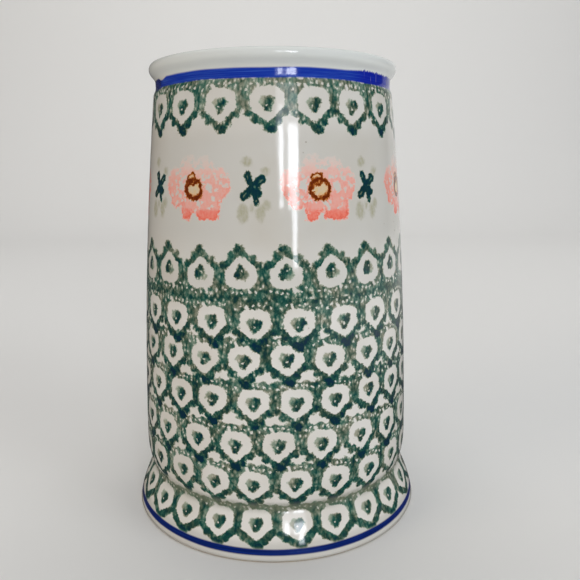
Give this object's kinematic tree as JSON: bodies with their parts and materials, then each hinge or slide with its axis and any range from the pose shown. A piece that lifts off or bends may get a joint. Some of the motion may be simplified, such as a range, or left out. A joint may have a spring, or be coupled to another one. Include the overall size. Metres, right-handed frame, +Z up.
{
  "type": "stoneware beer mug",
  "caption": "Tall tapered stoneware mug with a flared foot, grooved neck, rounded lip and a luted strap handle; clear glazed, bare rest ring.",
  "frame": {"origin": "centre of the rest plane under the foot, on the turning axis of the vessel", "axes": "+Z up along the turning axis, +Y towards the handle, -Y the decorated side that is seen from the front"},
  "size_m": [0.0978, 0.1285, 0.145],
  "materials": {
    "stoneware": "bare fired stoneware, fine sandy tooth",
    "slip": "fired luting slip, smoothed by a wet finger",
    "decorated_glaze": "clear gloss glaze over stamped green, pink and cobalt underglaze on a cream ground",
    "plain_glaze": "clear gloss glaze over cream stoneware"
  },
  "bodies": {
    "root": {"vessel_body": "stoneware", "handle_strap": "stoneware", "upper_handle_slip": "slip", "lower_handle_slip": "slip", "outer_glaze": "decorated_glaze", "inner_glaze": "plain_glaze", "handle_glaze": "plain_glaze", "underside_glaze": "plain_glaze"}
  },
  "joints": []
}
